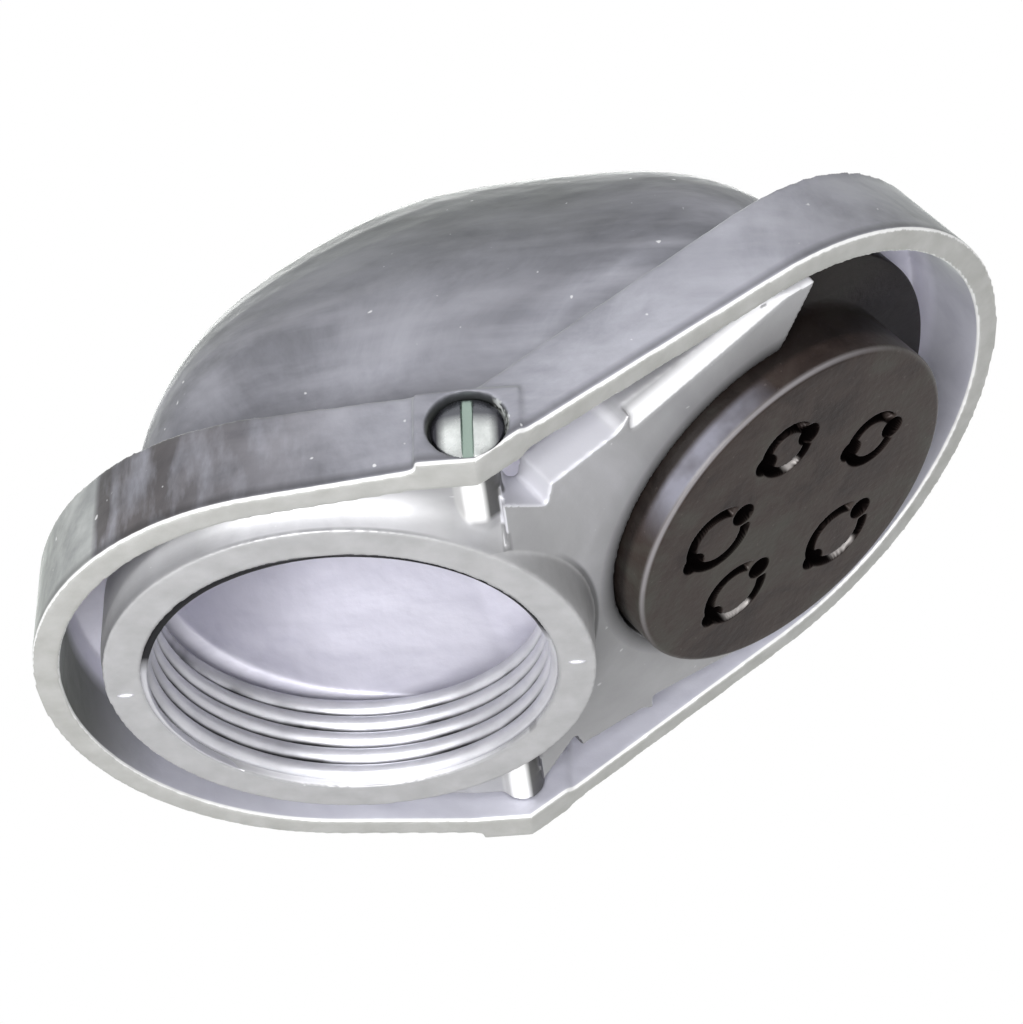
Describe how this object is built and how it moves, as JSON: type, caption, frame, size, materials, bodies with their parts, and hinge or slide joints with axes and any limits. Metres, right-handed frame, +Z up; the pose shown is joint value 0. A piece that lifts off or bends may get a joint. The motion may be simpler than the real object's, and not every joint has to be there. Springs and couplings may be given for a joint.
{
  "type": "service entrance weatherhead",
  "caption": "Cast hood screwed over a threaded conduit hub, with a sloping moulded insulator whose knockouts let service conductors out.",
  "frame": {"origin": "on the hub's axis, at the mouth of the hub", "axes": "+Z up along the hub's axis into the hood, +X from the hub towards the insulator, +Y across the two cover screws"},
  "size_m": [0.1122, 0.0738, 0.063],
  "materials": {
    "hood_casting": "as-cast aluminium, faintly mottled",
    "base_casting": "as-cast aluminium, machined hub face",
    "moulded_black": "satin moulded plastic",
    "screw_zinc": "zinc plated"
  },
  "bodies": {
    "root": {"cover": "hood_casting", "base": "base_casting", "insulator": "moulded_black", "cover_screws": "screw_zinc"}
  },
  "joints": []
}
